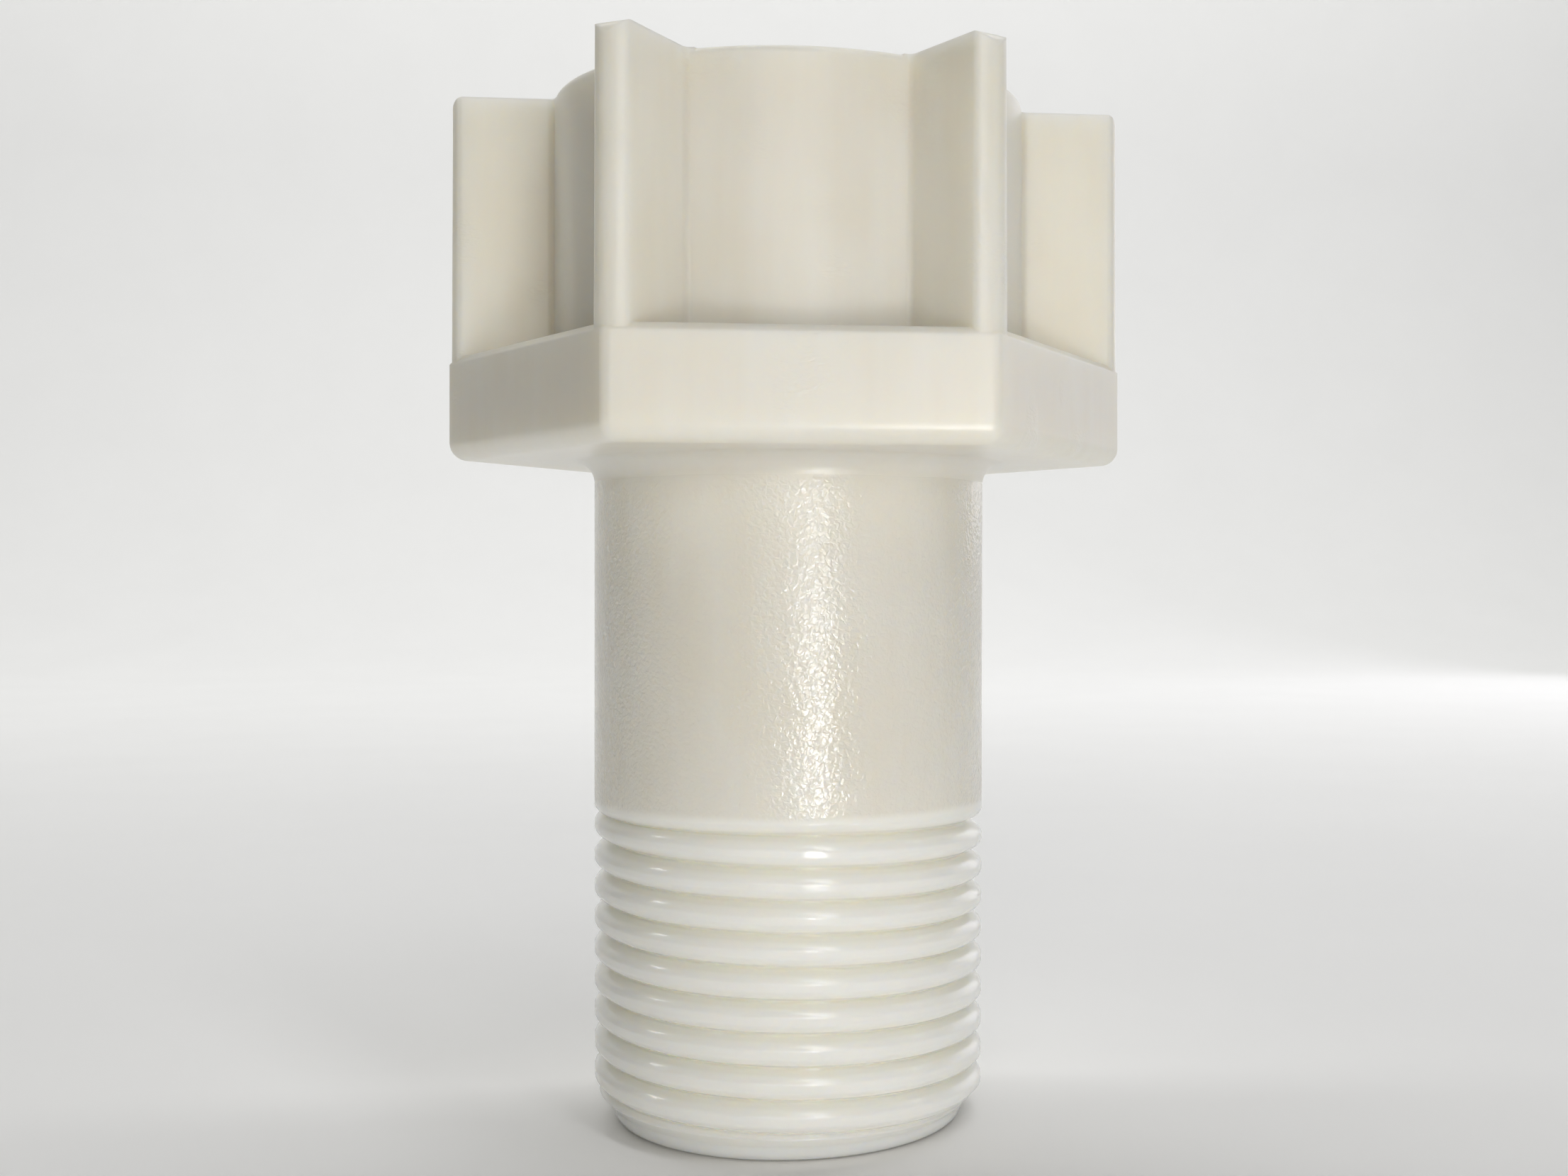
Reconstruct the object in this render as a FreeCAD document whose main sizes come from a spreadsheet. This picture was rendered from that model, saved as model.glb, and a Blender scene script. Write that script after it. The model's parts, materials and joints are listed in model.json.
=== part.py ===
import FreeCAD, Part
import Sketcher
import math
import os

# Thru-hull fitting, moulded in one piece, with a loose rubber washer in its socket.
#
# Frame: millimetres, +Z up along the fitting's axis. The origin is on that axis, in the plane
# of the tail end, so the fitting stands on its threaded tail with its socket open upwards.
# Two flats of the hexagonal flange face +Y and -Y, and two of its corners lie on the X axis.

DIMENSIONS = (
    # name, value, meaning
    ("shank_diameter", 27.0, "plain shank, and the crest of the tail thread"),
    ("waterway_diameter", 18.0, "straight passage through the shank"),
    ("overall_height", 70.1, "tail end to socket rim"),
    ("flange_underside", 45.35, "height of the face that bears on the hull"),
    ("flange_thickness", 7.05, "hexagonal flange"),
    ("flange_flats", 40.7, "width of the flange across its flats"),
    ("flange_corner_round", 0.8, "radius on the six upright corners"),
    ("flange_lower_round", 1.2, "radius on the lower edge of the flange"),
    ("flange_upper_bevel", 0.45, "small bevel on the upper edge of the flange"),
    ("root_round", 1.5, "radius between the shank and the underside of the flange"),
    ("collar_diameter", 32.4, "outside of the socket collar"),
    ("rim_round", 0.5, "radius on the outer edge of the socket rim"),
    ("rib_inset", 0.05, "how far the faces of a rib's nose stand back from the flange's sides"),
    ("rib_thickness", 2.5, "thickness of each rib"),
    ("rib_draft", 0.2, "draft on the sides and the nose of a rib, in degrees"),
    ("rib_corner_round", 0.8, "radius on the outer top corner of a rib"),
    ("rib_nose_round", 1.5, "radius along the outer edge of a rib, above the flange's corner"),
    ("rib_edge_round", 0.6, "radius between a rib's nose and its sides"),
    ("rib_root_round", 0.5, "radius where a rib meets the collar"),
    ("rib_root_bite", 12.0, "how far that radius turns on into the collar's wall, in degrees"),
    ("collar_foot_round", 0.4, "radius where the collar meets the flange"),
    ("rib_count", 6, "one rib above each corner of the flange"),
    ("thread_pitch", 2.1167, "twelve turns to the inch, on both threads"),
    ("thread_top", 21.8, "height where the plain shank begins"),
    ("thread_phase", -0.73, "height of the lowest groove where it crosses the XZ plane"),
    ("crest_draft", 0.05, "how much less the crests' radius is at the tail's end than at the shank"),
    ("thread_turns", 11.5, "turns of the groove that is cut into the tail"),
    ("crest_land", 0.36, "flat left on top of each rounded crest"),
    ("crest_round", 0.85, "radius of the rounded crests"),
    ("crest_edge_slope", 15.0, "slope of a rounded crest where it leaves its flat, in degrees"),
    ("crest_clearance", 0.04, "how far the groove's cutting outline stands off the crest"),
    ("groove_half_angle", 25.0, "half angle of the groove between two crests, in degrees"),
    ("groove_root_round", 0.1, "radius at the bottom of the groove"),
    ("lead_in_top", 2.4, "height where the tapered start of the thread reaches full size"),
    ("pilot_diameter", 24.3, "plain end of the tail, below the thread"),
    ("pilot_height", 1.05, "height of that plain end"),
    ("pilot_round", 0.9, "radius on the outer edge of the tail end"),
    ("socket_minor_diameter", 24.9, "crest of the socket thread"),
    ("socket_groove_depth", 0.75, "depth of the socket thread"),
    ("socket_groove_floor", 0.2, "flat at the bottom of the socket thread's groove"),
    ("socket_half_angle", 30.0, "half angle of the socket thread's groove, in degrees"),
    ("socket_turns", 6.5, "turns of the socket thread"),
    ("socket_thread_start", 57.2, "height where the socket thread starts, above the washer"),
    ("socket_floor", 52.4, "height of the ledge that the washer rests on"),
    ("washer_pocket_diameter", 25.4, "plain pocket around the washer"),
    ("washer_pocket_height", 3.8, "height of that pocket"),
    ("mouth_bevel", 1.2, "bevel at the mouth of the socket"),
    ("washer_outer_diameter", 24.5, "rubber washer, which passes the socket thread's crest"),
    ("washer_inner_diameter", 19.0, "hole in the washer, a little wider than the waterway"),
    ("washer_thickness", 3.0, "rubber washer"),
    ("washer_edge_round", 0.3, "radius on the washer's edges"),
)
# Both threads turn the same way. True is a left-hand thread.
THREADS_LEFT_HANDED = True
FLANGE_SIDES = 6
# two heights or radii that differ by less than this are the same one
NEAR = 1e-3
# an edge of the flange keeps at least this far outside the collar's wall
COLLAR_CLEARANCE = 1.0

# Radii and heights that several outlines share, as expressions over the sheet.
SHANK = "dims.shank_diameter / 2"
WATERWAY = "dims.waterway_diameter / 2"
PILOT = "dims.pilot_diameter / 2"
COLLAR = "dims.collar_diameter / 2"
SOCKET_CREST = "dims.socket_minor_diameter / 2"
POCKET = "dims.washer_pocket_diameter / 2"
POCKET_TOP = "dims.socket_floor + dims.washer_pocket_height"
# midway through the shank's wall
MID_WALL = f"({SHANK} + {WATERWAY}) / 2"
# the fitting's axis to a sharp corner of the flange
CORNER_REACH = "dims.flange_flats / 2 / cos(30 deg)"
FLANGE_TOP = "dims.flange_underside + dims.flange_thickness"

document = FreeCAD.newDocument("thru_hull_fitting")
dims = document.addObject("Spreadsheet::Sheet", "dims")
for row, (name, value, meaning) in enumerate(DIMENSIONS, start=1):
    dims.set(f"A{row}", name)
    dims.set(f"B{row}", str(value))
    dims.set(f"C{row}", meaning)
    dims.setAlias(f"B{row}", name)
document.recompute()


def number(expression):
    """The present value of an expression over the sheet."""
    value = dims.evalExpression(expression)
    return float(getattr(value, "Value", value))


def new_body(name):
    body = document.addObject("PartDesign::Body", name)
    body.Label = name
    return body


def origin_feature(body, role):
    """One of the body's own origin planes or axes."""
    return next(item for item in body.Origin.OriginFeatures if item.Role == role)


def new_sketch(body, name, role, height="0 mm"):
    """A sketch on one of the body's own planes, with its own X axis raised to a height."""
    sketch = body.newObject("Sketcher::SketchObject", name)
    sketch.AttachmentSupport = [(origin_feature(body, role), "")]
    sketch.MapMode = "FlatFace"
    axis = "z" if role == "XY_Plane" else "y"
    sketch.setExpression(f"AttachmentOffset.Base.{axis}", height)
    document.recompute()
    return sketch


def constrain(sketch, expression, kind, *where):
    """Add a dimension to a sketch and bind it to the sheet."""
    value = number(expression)
    if kind == "Angle":
        value = FreeCAD.Units.Quantity(f"{value} deg")
    index = sketch.addConstraint(Sketcher.Constraint(kind, *where, value))
    sketch.setExpression(f"Constraints[{index}]", expression)


def place_point(sketch, edge, end, across, up):
    """Tie one end of a sketch edge to its distances from the sketch's origin."""
    constrain(sketch, across, "DistanceX", -1, 1, edge, end)
    if number(up) == 0.0:
        sketch.addConstraint(Sketcher.Constraint("PointOnObject", edge, end, -1))
    else:
        constrain(sketch, up, "DistanceY", -1, 1, edge, end)


def outline_edge(start, end, radius):
    """A straight edge, or a minor arc that bulges to the right of the way from start to end.
    A negative radius bulges to the left."""
    if radius == 0.0:
        return Part.LineSegment(start, end)
    if radius < 0.0:
        start, end = end, start
    chord = end - start
    left = FreeCAD.Vector(-chord.y, chord.x, 0) / chord.Length
    centre = (start + end) / 2 + left * math.sqrt(radius ** 2 - (chord.Length / 2) ** 2)
    circle = Part.Circle(centre, FreeCAD.Vector(0, 0, 1), abs(radius))
    return Part.ArcOfCircle(circle, circle.parameter(start), circle.parameter(end))


def closed_outline(sketch, corners, rounds=None, hollows=None):
    """A closed counterclockwise outline whose corners are pairs of expressions. An edge is an
    arc where its first corner's number has a radius: in rounds it bulges out, in hollows in."""
    rounds = rounds or {}
    hollows = hollows or {}
    points = [FreeCAD.Vector(number(across), number(up), 0) for across, up in corners]
    count = len(points)
    for index in range(count):
        radius = number(rounds.get(index, "0")) - number(hollows.get(index, "0"))
        sketch.addGeometry(outline_edge(points[index], points[(index + 1) % count], radius))
    # a hollow arc runs clockwise, so its own first end is the later corner
    first_end = [2 if index in hollows else 1 for index in range(count)]
    for index in range(count):
        following = (index + 1) % count
        sketch.addConstraint(
            Sketcher.Constraint("Coincident", index, 3 - first_end[index], following, first_end[following])
        )
    for index, (across, up) in enumerate(corners):
        place_point(sketch, index, first_end[index], across, up)
    for index, radius in {**rounds, **hollows}.items():
        constrain(sketch, radius, "Radius", index)


def revolve(body, sketch, name):
    feature = body.newObject("PartDesign::Revolution", name)
    feature.Profile = sketch
    feature.ReferenceAxis = (origin_feature(body, "Z_Axis"), [""])
    feature.Angle = 360.0
    document.recompute()
    return feature


def is_ring(edge, radius, height):
    """True for a circle about the fitting's axis, of this radius and at this height."""
    if edge.Degenerated or not isinstance(edge.Curve, Part.Circle):
        return False
    curve = edge.Curve
    centred = math.hypot(curve.Center.x, curve.Center.y) < NEAR
    return centred and abs(curve.Radius - radius) < NEAR and abs(curve.Center.z - height) < NEAR


def dress(body, kind, name, base, chosen, size_property, size):
    """A fillet or a chamfer on the edges of the base feature that a test picks out."""
    edges = [f"Edge{index}" for index, edge in enumerate(base.Shape.Edges, start=1) if chosen(edge)]
    feature = body.newObject(f"PartDesign::{kind}", name)
    feature.Base = (base, edges)
    feature.setExpression(size_property, size)
    document.recompute()
    return feature


def cut_helix(body, sketch, name, turns):
    feature = body.newObject("PartDesign::SubtractiveHelix", name)
    feature.Profile = sketch
    feature.ReferenceAxis = (origin_feature(body, "Z_Axis"), [""])
    feature.Mode = "pitch-turns-angle"
    feature.setExpression("Pitch", "dims.thread_pitch")
    feature.setExpression("Turns", turns)
    feature.LeftHanded = THREADS_LEFT_HANDED
    document.recompute()
    return feature


def tail_groove_outline(body):
    """The section of the groove between two rounded crests, symmetric about its sketch's X axis."""
    sketch = new_sketch(body, "tail_groove_outline", "XZ_Plane", "dims.thread_phase")
    crest = number(SHANK)
    edge_height = number("dims.thread_pitch / 2 - dims.crest_land / 2")
    clearance = number("dims.crest_clearance")
    round_radius = number("dims.crest_round")
    root_radius = number("dims.groove_root_round")
    slope = math.radians(number("dims.crest_edge_slope"))
    half_angle = math.radians(number("dims.groove_half_angle"))
    # where the rounded crest's arc meets the straight flank, and where that meets the root's arc
    centre_x = crest - round_radius * math.cos(slope)
    centre_y = edge_height + round_radius * math.sin(slope)
    flank_x = centre_x + round_radius * math.sin(half_angle)
    flank_y = centre_y - round_radius * math.cos(half_angle)
    root_centre_x = flank_x - flank_y / math.tan(half_angle) + root_radius / math.sin(half_angle)
    root_x = root_centre_x - root_radius * math.sin(half_angle)
    root_y = root_radius * math.cos(half_angle)
    outer_x = crest + clearance
    outer_y = edge_height + clearance / math.tan(slope)
    normal = FreeCAD.Vector(0, 0, 1)

    def point(across, up):
        return FreeCAD.Vector(across, up, 0)

    def arc(centre, radius, first, last):
        return Part.ArcOfCircle(Part.Circle(centre, normal, radius), first, last)

    back, upper_edge, upper_crest, upper_flank, root, lower_flank, lower_crest, lower_edge = range(8)
    sketch.addGeometry([
        Part.LineSegment(point(outer_x, -outer_y), point(outer_x, outer_y)),
        Part.LineSegment(point(crest, edge_height), point(outer_x, outer_y)),
        arc(point(centre_x, centre_y), round_radius, half_angle - math.pi / 2, -slope),
        Part.LineSegment(point(root_x, root_y), point(flank_x, flank_y)),
        arc(point(root_centre_x, 0), root_radius, math.pi / 2 + half_angle, 3 * math.pi / 2 - half_angle),
        Part.LineSegment(point(root_x, -root_y), point(flank_x, -flank_y)),
        arc(point(centre_x, -centre_y), round_radius, slope, math.pi / 2 - half_angle),
        Part.LineSegment(point(crest, -edge_height), point(outer_x, -outer_y)),
    ])
    sketch.addConstraint([
        Sketcher.Constraint("Coincident", upper_edge, 2, back, 2),
        Sketcher.Constraint("Coincident", lower_edge, 2, back, 1),
        Sketcher.Constraint("Tangent", upper_edge, 1, upper_crest, 2),
        Sketcher.Constraint("Tangent", upper_crest, 1, upper_flank, 2),
        Sketcher.Constraint("Tangent", upper_flank, 1, root, 1),
        Sketcher.Constraint("Tangent", root, 2, lower_flank, 1),
        Sketcher.Constraint("Tangent", lower_flank, 2, lower_crest, 2),
        Sketcher.Constraint("Tangent", lower_crest, 1, lower_edge, 1),
        Sketcher.Constraint("Symmetric", upper_edge, 1, lower_edge, 1, -1),
        Sketcher.Constraint("Symmetric", upper_edge, 2, lower_edge, 2, -1),
        Sketcher.Constraint("Equal", upper_crest, lower_crest),
        Sketcher.Constraint("PointOnObject", root, 3, -1),
    ])
    place_point(sketch, upper_edge, 1, SHANK, "dims.thread_pitch / 2 - dims.crest_land / 2")
    constrain(sketch, f"{SHANK} + dims.crest_clearance", "DistanceX", -1, 1, upper_edge, 2)
    constrain(sketch, "dims.crest_round", "Radius", upper_crest)
    constrain(sketch, "dims.groove_root_round", "Radius", root)
    constrain(sketch, "90 deg - dims.crest_edge_slope * 1 deg", "Angle", upper_edge)
    constrain(sketch, "dims.groove_half_angle * 1 deg", "Angle", upper_flank)
    document.recompute()
    return sketch


def hexagon_outline(body):
    """The flange's hexagon, around a hole that the shank fills later."""
    sketch = new_sketch(body, "flange_outline", "XY_Plane", "dims.flange_underside")
    corner_reach = number(CORNER_REACH)
    corners = []
    for side in range(FLANGE_SIDES):
        turn = 2 * math.pi * side / FLANGE_SIDES
        corners.append(FreeCAD.Vector(corner_reach * math.cos(turn), corner_reach * math.sin(turn), 0))
    for side in range(FLANGE_SIDES):
        sketch.addGeometry(Part.LineSegment(corners[side], corners[(side + 1) % FLANGE_SIDES]))
    centre = FreeCAD.Vector(0, 0, 0)
    normal = FreeCAD.Vector(0, 0, 1)
    guide = sketch.addGeometry(Part.Circle(centre, normal, corner_reach), True)
    hole = sketch.addGeometry(Part.Circle(centre, normal, number(MID_WALL)))
    for side in range(FLANGE_SIDES):
        following = (side + 1) % FLANGE_SIDES
        sketch.addConstraint(Sketcher.Constraint("Coincident", side, 2, following, 1))
        sketch.addConstraint(Sketcher.Constraint("PointOnObject", side, 1, guide))
    for side in range(1, FLANGE_SIDES):
        sketch.addConstraint(Sketcher.Constraint("Equal", 0, side))
    sketch.addConstraint(Sketcher.Constraint("PointOnObject", 0, 1, -1))
    sketch.addConstraint(Sketcher.Constraint("Coincident", guide, 3, -1, 1))
    sketch.addConstraint(Sketcher.Constraint("Coincident", hole, 3, -1, 1))
    constrain(sketch, CORNER_REACH, "Radius", guide)
    constrain(sketch, MID_WALL, "Radius", hole)
    document.recompute()
    return sketch


def outside_collar(edge):
    """True for an edge that keeps well outside the collar."""
    reach = number(COLLAR) + COLLAR_CLEARANCE
    return all(math.hypot(vertex.X, vertex.Y) > reach for vertex in edge.Vertexes)


def is_level(edge, height):
    return all(abs(vertex.Z - height) < NEAR for vertex in edge.Vertexes)


def is_upright(edge):
    """True for a straight edge that runs up along the fitting's axis."""
    ends = [vertex.Point for vertex in edge.Vertexes]
    if len(ends) != 2 or edge.Degenerated or not isinstance(edge.Curve, Part.Line):
        return False
    return math.hypot(ends[0].x - ends[1].x, ends[0].y - ends[1].y) < NEAR


FLANGE_LOW = number("dims.flange_underside")
FLANGE_HIGH = number(FLANGE_TOP)

fitting = new_body("fitting_body")

# The flange comes first, while its edges are still plain enough to round.
flange_sketch = hexagon_outline(fitting)
flange = fitting.newObject("PartDesign::Pad", "flange")
flange.Profile = flange_sketch
flange.setExpression("Length", "dims.flange_thickness")
document.recompute()
corners = dress(
    fitting, "Fillet", "flange_corner_round", flange,
    lambda edge: outside_collar(edge) and is_upright(edge),
    "Radius", "dims.flange_corner_round",
)
lower = dress(
    fitting, "Fillet", "flange_lower_round", corners,
    lambda edge: outside_collar(edge) and is_level(edge, FLANGE_LOW),
    "Radius", "dims.flange_lower_round",
)
dress(
    fitting, "Chamfer", "flange_upper_bevel", lower,
    lambda edge: outside_collar(edge) and is_level(edge, FLANGE_HIGH),
    "Size", "dims.flange_upper_bevel",
)

# The tail: a bored blank with a tapered start, and the rounded thread's groove cut round it.
BLANK_TOP = "dims.flange_underside + dims.flange_thickness / 2"
blank_sketch = new_sketch(fitting, "tail_blank_outline", "XZ_Plane")
closed_outline(blank_sketch, (
    (WATERWAY, "0"),
    (PILOT, "0"),
    (PILOT, "dims.pilot_height"),
    (f"{SHANK} - dims.crest_draft", "dims.lead_in_top"),
    (SHANK, "dims.thread_top"),
    (SHANK, BLANK_TOP),
    (WATERWAY, BLANK_TOP),
))
blank = revolve(fitting, blank_sketch, "tail_blank")
pilot_round = dress(
    fitting, "Fillet", "pilot_round", blank,
    lambda edge: is_ring(edge, number(PILOT), 0.0),
    "Radius", "dims.pilot_round",
)
thread = cut_helix(fitting, tail_groove_outline(fitting), "tail_thread", "dims.thread_turns")

# The shank, flange core and socket collar in one turned outline. Its lower end is a rounded
# shoulder that closes the thread's groove off, so the groove fades out as it climbs past it.
SLOPE = "dims.crest_edge_slope * 1 deg"
HALF_ANGLE = "dims.groove_half_angle * 1 deg"
CREST_DROP = f"dims.crest_round * (cos({SLOPE}) - sin({HALF_ANGLE}))"
CREST_RUN = f"dims.crest_round * (cos({HALF_ANGLE}) - sin({SLOPE}))"
SHOULDER_RADIUS = f"{SHANK} - {CREST_DROP}"
SHOULDER_HEIGHT = f"dims.thread_top - {CREST_RUN}"
SHOULDER_DEPTH = f"({SHOULDER_RADIUS} - {PILOT})"
SHOULDER_FOOT = f"{SHOULDER_HEIGHT} - {SHOULDER_DEPTH} * tan({HALF_ANGLE})"
COLLAR_FOOT = f"{COLLAR} + dims.collar_foot_round"
stack_sketch = new_sketch(fitting, "shank_and_collar_outline", "XZ_Plane")
closed_outline(stack_sketch, (
    (WATERWAY, SHOULDER_FOOT),
    (PILOT, SHOULDER_FOOT),
    (SHOULDER_RADIUS, SHOULDER_HEIGHT),
    (SHANK, "dims.thread_top"),
    (SHANK, "dims.flange_underside"),
    (COLLAR_FOOT, "dims.flange_underside"),
    (COLLAR_FOOT, FLANGE_TOP),
    (COLLAR, f"{FLANGE_TOP} + dims.collar_foot_round"),
    (COLLAR, "dims.overall_height"),
    (f"{SOCKET_CREST} + dims.mouth_bevel", "dims.overall_height"),
    (SOCKET_CREST, "dims.overall_height - dims.mouth_bevel"),
    (SOCKET_CREST, POCKET_TOP),
    (POCKET, POCKET_TOP),
    (POCKET, "dims.socket_floor"),
    (WATERWAY, "dims.socket_floor"),
), rounds={2: "dims.crest_round"}, hollows={6: "dims.collar_foot_round"})
stack = revolve(fitting, stack_sketch, "shank_and_collar")
root = dress(
    fitting, "Fillet", "root_round", stack,
    lambda edge: is_ring(edge, number(SHANK), FLANGE_LOW),
    "Radius", "dims.root_round",
)
rim = dress(
    fitting, "Fillet", "rim_round", root,
    lambda edge: is_ring(edge, number(COLLAR), number("dims.overall_height")),
    "Radius", "dims.rim_round",
)

# Six ribs stand on the flange's corners and brace the collar. The nose of each one carries the
# two sides of its corner on upwards, with larger rounds.
RIB_FOOT = f"({FLANGE_TOP} - 2 * dims.flange_upper_bevel)"
RIB_INSIDE = f"{COLLAR} - dims.rib_thickness"
RIB_SIDE = "dims.rib_thickness / 2"
RIB_CORNER = f"({CORNER_REACH} - dims.rib_inset / cos(30 deg))"
RIB_REACH = f"({RIB_CORNER} - dims.rib_nose_round * (1 / cos(30 deg) - 1))"
NOSE_REACH = f"{RIB_CORNER} - dims.rib_nose_round * tan(30 deg) / 2"
NOSE_SIDE = "dims.rib_nose_round / 2"
EDGE_REACH = f"({RIB_CORNER} - {RIB_SIDE} * tan(30 deg))"
EDGE_FRONT_REACH = f"{EDGE_REACH} + dims.rib_edge_round * tan(30 deg) / 2"
EDGE_FRONT_SIDE = f"{RIB_SIDE} - dims.rib_edge_round / 2"
EDGE_BACK_REACH = f"{EDGE_REACH} - dims.rib_edge_round * tan(30 deg)"
# the flare where a rib's side turns into the collar: its arc's centre, and where it ends just
# inside the collar's wall
FLARE = "dims.rib_root_round"
FLARE_CENTRE_SIDE = f"({RIB_SIDE} + {FLARE})"
FLARE_CENTRE_REACH = f"sqrt(({COLLAR} + {FLARE}) ^ 2 - {FLARE_CENTRE_SIDE} ^ 2)"
FLARE_BITE = "dims.rib_root_bite * 1 deg"
FLARE_END_TURN = f"(asin({FLARE_CENTRE_SIDE} / ({COLLAR} + {FLARE})) - {FLARE_BITE})"
FLARE_END_REACH = f"{FLARE_CENTRE_REACH} - {FLARE} * cos({FLARE_END_TURN})"
FLARE_END_SIDE = f"{FLARE_CENTRE_SIDE} - {FLARE} * sin({FLARE_END_TURN})"
rib_sketch = new_sketch(fitting, "rib_outline", "XY_Plane", RIB_FOOT)
closed_outline(rib_sketch, (
    (RIB_INSIDE, f"-({FLARE_END_SIDE})"),
    (FLARE_END_REACH, f"-({FLARE_END_SIDE})"),
    (FLARE_CENTRE_REACH, f"-({RIB_SIDE})"),
    (EDGE_BACK_REACH, f"-({RIB_SIDE})"),
    (EDGE_FRONT_REACH, f"-({EDGE_FRONT_SIDE})"),
    (NOSE_REACH, f"-({NOSE_SIDE})"),
    (NOSE_REACH, NOSE_SIDE),
    (EDGE_FRONT_REACH, EDGE_FRONT_SIDE),
    (EDGE_BACK_REACH, RIB_SIDE),
    (FLARE_CENTRE_REACH, RIB_SIDE),
    (FLARE_END_REACH, FLARE_END_SIDE),
    (RIB_INSIDE, FLARE_END_SIDE),
), rounds={
    3: "dims.rib_edge_round",
    5: "dims.rib_nose_round",
    7: "dims.rib_edge_round",
}, hollows={1: FLARE, 9: FLARE})
rib = fitting.newObject("PartDesign::Pad", "rib")
rib.Profile = rib_sketch
rib.setExpression("Length", f"dims.overall_height - {RIB_FOOT}")
rib.setExpression("TaperAngle", "-dims.rib_draft * 1 deg")
document.recompute()
ribs = fitting.newObject("PartDesign::PolarPattern", "ribs")
ribs.Originals = [rib]
ribs.Axis = (origin_feature(fitting, "Z_Axis"), [""])
ribs.Angle = 360.0
ribs.setExpression("Occurrences", "dims.rib_count")
fitting.Tip = ribs
document.recompute()

# A turned cut rounds the outer top corner of every rib.
corner_sketch = new_sketch(fitting, "rib_corner_outline", "XZ_Plane")
RIB_TOP_REACH = f"{RIB_REACH} - (dims.overall_height - {RIB_FOOT}) * tan(dims.rib_draft * 1 deg)"
closed_outline(corner_sketch, (
    (f"{RIB_TOP_REACH} - dims.rib_corner_round", "dims.overall_height + dims.rib_corner_round"),
    (f"{RIB_TOP_REACH} - dims.rib_corner_round", "dims.overall_height"),
    (RIB_TOP_REACH, "dims.overall_height - dims.rib_corner_round"),
    (f"{RIB_TOP_REACH} + dims.rib_corner_round", "dims.overall_height - dims.rib_corner_round"),
    (f"{RIB_TOP_REACH} + dims.rib_corner_round", "dims.overall_height + dims.rib_corner_round"),
), hollows={1: "dims.rib_corner_round"})
rib_corners = fitting.newObject("PartDesign::Groove", "rib_corners")
rib_corners.Profile = corner_sketch
rib_corners.ReferenceAxis = (origin_feature(fitting, "Z_Axis"), [""])
rib_corners.Angle = 360.0
document.recompute()

# The socket's thread is cut from just above the washer's pocket out through the mouth.
GROOVE_FLOOR_SIDE = "dims.socket_groove_floor / 2"
GROOVE_MOUTH_SIDE = (
    "dims.socket_groove_floor / 2"
    " + (dims.socket_groove_depth + dims.crest_clearance) * tan(dims.socket_half_angle * 1 deg)"
)
socket_sketch = new_sketch(fitting, "socket_groove_outline", "XZ_Plane", "dims.socket_thread_start")
closed_outline(socket_sketch, (
    (f"{SOCKET_CREST} - dims.crest_clearance", f"-({GROOVE_MOUTH_SIDE})"),
    (f"{SOCKET_CREST} + dims.socket_groove_depth", f"-({GROOVE_FLOOR_SIDE})"),
    (f"{SOCKET_CREST} + dims.socket_groove_depth", GROOVE_FLOOR_SIDE),
    (f"{SOCKET_CREST} - dims.crest_clearance", GROOVE_MOUTH_SIDE),
))
socket_thread = cut_helix(fitting, socket_sketch, "socket_thread", "dims.socket_turns")

# The washer: a flat ring of rubber on the ledge at the bottom of the socket.
washer = new_body("socket_washer")
washer_sketch = new_sketch(washer, "washer_outline", "XZ_Plane", "dims.socket_floor")
closed_outline(washer_sketch, (
    ("dims.washer_inner_diameter / 2", "0"),
    ("dims.washer_outer_diameter / 2", "0"),
    ("dims.washer_outer_diameter / 2", "dims.washer_thickness"),
    ("dims.washer_inner_diameter / 2", "dims.washer_thickness"),
))
washer_ring = revolve(washer, washer_sketch, "washer_ring")
dress(
    washer, "Fillet", "washer_edge_round", washer_ring,
    lambda edge: not edge.Degenerated and isinstance(edge.Curve, Part.Circle),
    "Radius", "dims.washer_edge_round",
)

document.recompute()
for item in document.Objects:
    if "Invalid" in item.State or "Error" in item.State:
        raise RuntimeError(f"{item.Name}: {item.getStatusString()}")
for body in (fitting, washer):
    if body.Shape.isNull() or not body.Shape.isValid() or len(body.Shape.Solids) != 1:
        raise RuntimeError(f"{body.Label}: not one valid solid")

os.makedirs("parts", exist_ok=True)
for body in (fitting, washer):
    body.Shape.exportStep(f"parts/{body.Label}.step")
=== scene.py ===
import json
import math

import bpy
from mathutils import Matrix, Vector

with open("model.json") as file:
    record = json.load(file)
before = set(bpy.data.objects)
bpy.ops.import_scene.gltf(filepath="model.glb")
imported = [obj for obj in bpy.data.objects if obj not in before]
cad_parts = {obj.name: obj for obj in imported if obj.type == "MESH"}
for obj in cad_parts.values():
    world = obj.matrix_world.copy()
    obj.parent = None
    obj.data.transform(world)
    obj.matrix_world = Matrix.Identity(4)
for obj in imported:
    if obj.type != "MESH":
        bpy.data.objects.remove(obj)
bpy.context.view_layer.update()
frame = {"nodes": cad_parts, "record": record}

MM = 0.001

scene = bpy.context.scene
scene.view_settings.view_transform = "Standard"
scene.view_settings.look = "None"

# ---------------------------------------------------------------- camera
IMAGE_WIDTH = 2212
CAMERA_AT = Vector((-5.19, -128.89, 37.41)) * MM
CAMERA_YAW, CAMERA_PITCH, CAMERA_ROLL = 0.1053, -0.0060, 0.0014
CAMERA_FOCAL_PX = 2587.7
CAMERA_CENTRE_PX = 1282.5

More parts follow.
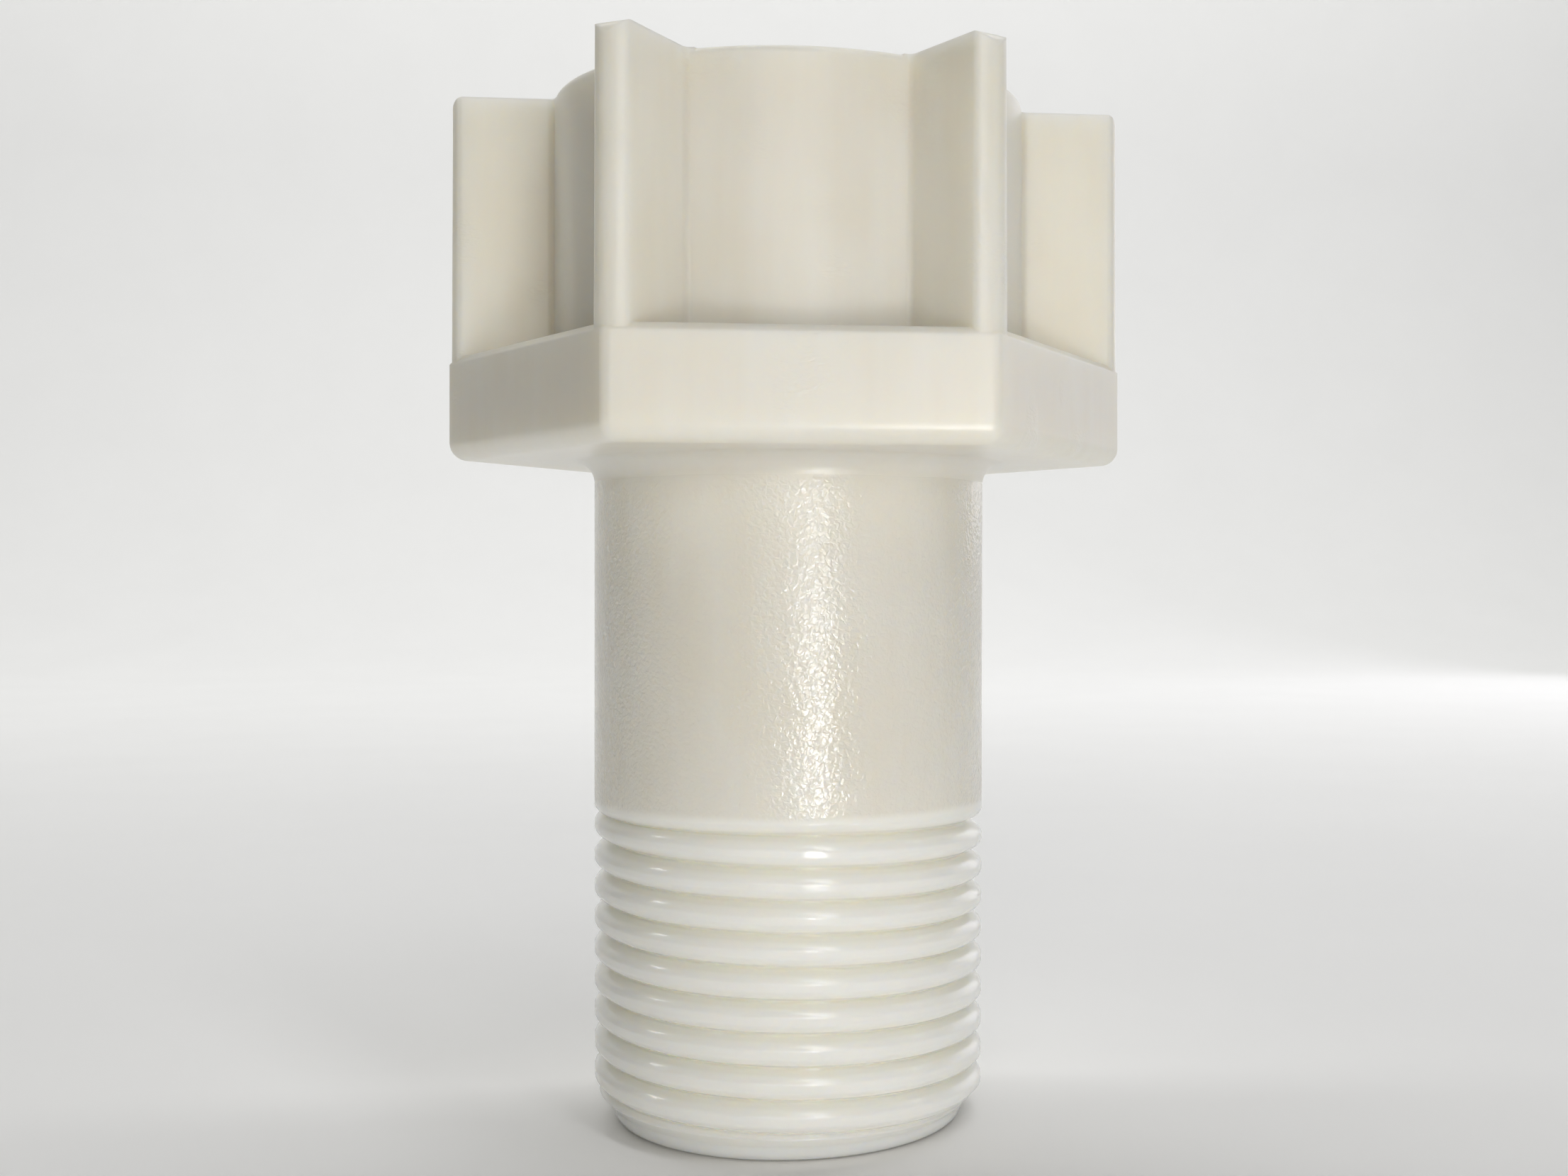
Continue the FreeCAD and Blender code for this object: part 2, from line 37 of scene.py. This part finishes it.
forward = Vector((
    math.sin(CAMERA_YAW) * math.cos(CAMERA_PITCH),
    math.cos(CAMERA_YAW) * math.cos(CAMERA_PITCH),
    math.sin(CAMERA_PITCH),
))
level_right = forward.cross(Vector((0, 0, 1))).normalized()
level_up = level_right.cross(forward)
right = level_right * math.cos(CAMERA_ROLL) + level_up * math.sin(CAMERA_ROLL)
up = level_up * math.cos(CAMERA_ROLL) - level_right * math.sin(CAMERA_ROLL)
camera_data = bpy.data.cameras.new("camera")
camera_data.sensor_width = 36.0
camera_data.lens = CAMERA_FOCAL_PX / IMAGE_WIDTH * camera_data.sensor_width
camera_data.shift_x = (IMAGE_WIDTH / 2 - CAMERA_CENTRE_PX) / IMAGE_WIDTH
camera_data.clip_start, camera_data.clip_end = 0.005, 10.0
camera = bpy.data.objects.new("camera", camera_data)
camera.matrix_world = Matrix((
    (right.x, up.x, -forward.x, CAMERA_AT.x),
    (right.y, up.y, -forward.y, CAMERA_AT.y),
    (right.z, up.z, -forward.z, CAMERA_AT.z),
    (0, 0, 0, 1),
))
scene.collection.objects.link(camera)
scene.camera = camera

# ---------------------------------------------------------------- materials
# Heights on the fitting. The flange's underside is the hull seat, from the record's mounts, and
# the plain shank reaches this far below it, down to the thread.
SHANK_LENGTH = 23.55 * MM
SEAT = next(
    mount["pos_m"][2] for mount in frame["record"]["mounts"] if mount["name"] == "hull_seat"
)
SHANK_FOOT = SEAT - SHANK_LENGTH

# Over what heights one finish fades into the next.
THREAD_FADE = 0.6 * MM
ROOT_FADE_FROM, ROOT_FADE_TO = 2.2 * MM, 1.2 * MM
TOP_FADE = 1.6 * MM

# Linear colours of the plastic, and a paler colour painted on the thread as painted light: it
# stands in for highlights and glow the thread catches, not for a paler plastic.
NYLON_WARM = (0.81, 0.78, 0.69, 1)
NYLON_COOL = (0.83, 0.81, 0.74, 1)
THREAD_PAINTED_LIGHT = (0.94, 0.925, 0.855, 1)
SPECK = (0.22, 0.19, 0.13, 1)

# Depths of its relief, in metres.
PEEL_DEPTH = 0.000066
WAVE_DEPTH = 0.000016
MARK_DEPTH = 0.000040
FINE_DEPTH = 0.0000012
EDGE_SOFTNESS = 0.00025

# How rough each zone is, and how much that drifts with the cloudiness.
ROUGH_TOP = 0.30
ROUGH_THREAD = 0.12
ROUGH_SHANK = 0.15
ROUGH_DRIFT = 0.10


class Nodes:
    """A material's nodes, made and linked by short calls."""

    def __init__(self, name):
        self.material = bpy.data.materials.new(name)
        self.material.use_nodes = True
        self.tree = self.material.node_tree
        self.tree.nodes.clear()
        self.output = self.tree.nodes.new("ShaderNodeOutputMaterial")

    def add(self, kind, inputs=None, **settings):
        node = self.tree.nodes.new(kind)
        for key, value in settings.items():
            setattr(node, key, value)
        for key, value in (inputs or {}).items():
            self.put(node.inputs[key], value)
        return node

    def put(self, socket, value):
        """Link a socket to another node's output, or give it a plain value."""
        if isinstance(value, bpy.types.NodeSocket):
            self.tree.links.new(value, socket)
        else:
            socket.default_value = value

    def math(self, operation, *values):
        node = self.add("ShaderNodeMath", operation=operation)
        for index, value in enumerate(values):
            self.put(node.inputs[index], value)
        return node.outputs[0]

    def plus(self, first, second):
        return self.math("ADD", first, second)

    def times(self, first, second):
        return self.math("MULTIPLY", first, second)

    def ramp(self, value, low, high, to_low=0.0, to_high=1.0):
        """A smooth step of a value, from to_low at low to to_high at high."""
        node = self.add("ShaderNodeMapRange", {
            "Value": value,
            "From Min": low,
            "From Max": high,
            "To Min": to_low,
            "To Max": to_high,
        }, interpolation_type="SMOOTHSTEP")
        return node.outputs[0]

    def noise(self, place, scale, detail=2.0, distortion=0.0):
        node = self.add("ShaderNodeTexNoise", {
            "Vector": place,
            "Scale": scale,
            "Detail": detail,
            "Roughness": 0.5,
            "Distortion": distortion,
        })
        return node.outputs["Fac"]

    def mix(self, factor, first, second):
        """A colour between two colours. Its sockets are numbered, because each name is on three."""
        node = self.add("ShaderNodeMix", data_type="RGBA")
        for index, value in ((0, factor), (6, first), (7, second)):
            self.put(node.inputs[index], value)
        return node.outputs[2]

    def stretch(self, place, across, along, up):
        """A place, scaled along each axis."""
        node = self.add(
            "ShaderNodeVectorMath", {0: place, 1: (across, along, up)}, operation="MULTIPLY"
        )
        return node.outputs[0]

    def finish(self, shader):
        self.tree.links.new(shader.outputs[0], self.output.inputs["Surface"])
        return self.material


def nylon():
    """Milky moulded nylon: a fine peel on the shank, polished threads painted paler as painted
    light, satin flange and collar.
    """
    n = Nodes("milky_nylon")
    place = n.add("ShaderNodeTexCoord").outputs["Object"]
    height = n.add("ShaderNodeSeparateXYZ", {0: place}).outputs["Z"]

    # where the mould was eroded, on the plain shank, and where it was polished, on the thread
    above_thread = n.ramp(height, SHANK_FOOT, SHANK_FOOT + THREAD_FADE)
    below_flange = n.ramp(height, SEAT - ROOT_FADE_FROM, SEAT - ROOT_FADE_TO, 1.0, 0.0)
    on_shank = n.times(above_thread, below_flange)
    on_thread = n.math("SUBTRACT", 1.0, above_thread)
    on_top = n.ramp(height, SEAT - TOP_FADE, SEAT)

    # milky cloudiness, a little yellower in some places than in others, and a painted paler tone on
    # the thread that stands in for light it catches
    clouds = n.noise(place, 90.0, detail=3.0)
    streaks = n.noise(n.stretch(place, 1.0, 1.0, 0.12), 700.0)
    tone = n.plus(n.times(clouds, 0.7), n.times(streaks, 0.3))
    colour = n.mix(n.ramp(tone, 0.36, 0.64), NYLON_WARM, NYLON_COOL)
    # painted light: the thread is painted paler, in place of highlights and glow that the lamps
    # don't give it
    colour = n.mix(n.times(on_thread, 0.9), colour, THREAD_PAINTED_LIGHT)

    # a few dark specks of dirt that were moulded in
    cells = n.add("ShaderNodeTexVoronoi", {"Vector": place, "Scale": 160.0, "Randomness": 1.0})
    chance = n.add("ShaderNodeSeparateColor", {0: cells.outputs["Color"]}).outputs[0]
    in_speck = n.ramp(cells.outputs["Distance"], 0.012, 0.024, 1.0, 0.0)
    speck = n.times(in_speck, n.math("GREATER_THAN", chance, 0.8))
    colour = n.mix(n.times(speck, 0.45), colour, SPECK)

    # the peel is a fine leathery bump, the rest has long soft waves and a few flow marks
    peel = n.plus(
        n.noise(place, 3300.0, detail=1.0, distortion=0.5),
        n.times(n.noise(place, 1500.0, detail=1.0), 0.4),
    )
    waves = n.noise(place, 260.0, detail=1.0)
    marked = n.times(n.ramp(n.noise(place, 170.0), 0.60, 0.70), on_top)
    ripples = n.noise(n.stretch(place, 0.6, 1.0, 1.6), 2300.0, detail=1.0, distortion=1.2)
    fine = n.noise(place, 5200.0, detail=1.0)
    relief = n.times(peel, n.times(on_shank, PEEL_DEPTH))
    relief = n.plus(relief, n.times(waves, WAVE_DEPTH))
    relief = n.plus(relief, n.times(n.times(marked, ripples), MARK_DEPTH))
    relief = n.plus(relief, n.times(fine, n.times(on_top, FINE_DEPTH)))
    softened = n.add("ShaderNodeBevel", {"Radius": EDGE_SOFTNESS}, samples=4)
    bump = n.add("ShaderNodeBump", {
        "Strength": 1.0, "Distance": 1.0, "Height": relief, "Normal": softened.outputs[0],
    })

    rough = n.plus(ROUGH_TOP, n.times(on_thread, ROUGH_THREAD - ROUGH_TOP))
    rough = n.plus(rough, n.times(on_shank, ROUGH_SHANK - ROUGH_TOP))
    rough = n.plus(rough, n.times(n.math("SUBTRACT", clouds, 0.5), ROUGH_DRIFT))
    return n.finish(n.add("ShaderNodeBsdfPrincipled", {
        "Base Color": colour,
        "Roughness": rough,
        "IOR": 1.53,
        "Subsurface Weight": 1.0,
        "Subsurface Radius": (1.0, 0.9, 0.72),
        "Subsurface Scale": 3.0 * MM,
        "Normal": bump.outputs[0],
    }))


def rubber():
    """Matt black rubber with a fine grain and a bloom of dust."""
    n = Nodes("black_rubber")
    place = n.add("ShaderNodeTexCoord").outputs["Object"]
    bloom = n.noise(place, 220.0, detail=4.0)
    colour = n.mix(
        n.ramp(bloom, 0.35, 0.75), (0.014, 0.014, 0.015, 1), (0.035, 0.034, 0.033, 1)
    )
    bump = n.add("ShaderNodeBump", {
        "Strength": 1.0, "Distance": 0.02 * MM, "Height": n.noise(place, 4200.0, detail=3.0),
    })
    return n.finish(n.add("ShaderNodeBsdfPrincipled", {
        "Base Color": colour,
        "Roughness": n.ramp(bloom, 0.2, 0.8, 0.5, 0.75),
        "Normal": bump.outputs[0],
    }))


def floor_white():
    """Matt white, very slightly uneven."""
    n = Nodes("floor_white")
    place = n.add("ShaderNodeTexCoord").outputs["Object"]
    colour = n.mix(
        n.noise(place, 30.0, detail=3.0), (0.92, 0.92, 0.92, 1), (0.95, 0.95, 0.95, 1)
    )
    return n.finish(n.add("ShaderNodeBsdfPrincipled", {"Base Color": colour, "Roughness": 0.9}))


for node, material in (("fitting_body", nylon()), ("socket_washer", rubber())):
    for slot in frame["nodes"][node].material_slots:
        slot.material = material

# ---------------------------------------------------------------- floor and backdrop
FLOOR_FRONT, FLOOR_BACK = -0.45, 0.55
FLOOR_HALF_WIDTH = 0.9
CURVE_RADIUS, CURVE_STEPS = 0.25, 24
WALL_HEIGHT = 1.2


def backdrop():
    """A pale floor that curves up into a wall behind the object."""
    profile = [(FLOOR_FRONT, 0.0), (FLOOR_BACK, 0.0)]
    for step in range(1, CURVE_STEPS + 1):
        turn = math.pi / 2 * step / CURVE_STEPS
        profile.append((
            FLOOR_BACK + CURVE_RADIUS * math.sin(turn), CURVE_RADIUS * (1 - math.cos(turn))
        ))
    profile.append((FLOOR_BACK + CURVE_RADIUS, CURVE_RADIUS + WALL_HEIGHT))
    verts = [(side, y, z) for y, z in profile for side in (-FLOOR_HALF_WIDTH, FLOOR_HALF_WIDTH)]
    faces = [(2 * i, 2 * i + 1, 2 * i + 3, 2 * i + 2) for i in range(len(profile) - 1)]
    mesh = bpy.data.meshes.new("floor")
    mesh.from_pydata(verts, [], faces)
    for face in mesh.polygons:
        face.use_smooth = True
    mesh.materials.append(floor_white())
    floor = bpy.data.objects.new("floor", mesh)
    scene.collection.objects.link(floor)


backdrop()

# ---------------------------------------------------------------- lights
CENTRE = Vector((0, 0, 36)) * MM
LIGHTS = (
    # name, azimuth, elevation, distance, size, power, colour
    ("front", 0, 14, 0.6, (0.4, 0.26), 0.70, (1.0, 0.985, 0.97)),
    ("left_fill", -60, 14, 0.6, (0.4, 0.26), 0.13, (1.0, 0.97, 0.84)),
    ("right_fill", 60, 14, 0.6, (0.4, 0.26), 0.10, (0.88, 0.91, 1.0)),
    ("right_back", 135, 14, 0.6, (0.4, 0.26), 0.28, (0.96, 0.94, 1.0)),
    ("high_glint", 27, 60, 0.5, (0.08, 0.36), 0.45, (1.0, 1.0, 1.0)),
)
# Small lamps close to the object, which make its long highlight.
NEAR_LIGHTS = (
    ("low_glint", 12, -13, 0.135, (0.024, 0.022), 0.038, (1.0, 0.98, 0.96)),
    ("middle_glint", 12, -1, 0.135, (0.016, 0.040), 0.020, (1.0, 0.98, 0.96)),
)
WALL_AT, WALL_AIM = Vector((0, 0.30, 0.80)), Vector((0, 0.75, 0.10))


def area_light(name, place, aim, size, power, colour):
    """A soft rectangular light at a place, turned towards another."""
    light = bpy.data.lights.new(name, "AREA")
    light.shape = "RECTANGLE"
    light.size, light.size_y = size
    light.energy = power
    light.color = colour
    lamp = bpy.data.objects.new(name, light)
    lamp.location = place
    lamp.rotation_mode = "QUATERNION"
    lamp.rotation_quaternion = (aim - place).to_track_quat("-Z", "Y")
    scene.collection.objects.link(lamp)
    return lamp


def softbox(name, azimuth, elevation, distance, size, power, colour):
    """A light that looks at the object from this bearing, in degrees: azimuth 0 is the object's
    front, and 90 its right."""
    turn, rise = math.radians(azimuth), math.radians(elevation)
    away = Vector((
        math.sin(turn) * math.cos(rise), -math.cos(turn) * math.cos(rise), math.sin(rise)
    ))
    return area_light(name, CENTRE + away * distance, CENTRE, size, power, colour)


for light in LIGHTS:
    softbox(*light)

# The near lamps light the object alone, or they would burn a spot into the floor.
lit_by_glints = bpy.data.collections.new("lit_by_glints")
for cad_object in frame["nodes"].values():
    lit_by_glints.objects.link(cad_object)
for light in NEAR_LIGHTS:
    softbox(*light).light_linking.receiver_collection = lit_by_glints

area_light("wall", WALL_AT, WALL_AIM, (1.6, 0.25), 6.8, (1.0, 1.0, 0.98))

# The surroundings are seen as pale, but the lamps alone do the lighting.
world = bpy.data.worlds.new("world")
world.use_nodes = True
background = world.node_tree.nodes["Background"]
background.inputs["Color"].default_value = (1, 1, 1, 1)
seen = world.node_tree.nodes.new("ShaderNodeLightPath").outputs["Is Camera Ray"]
world.node_tree.links.new(seen, background.inputs["Strength"])
scene.world = world
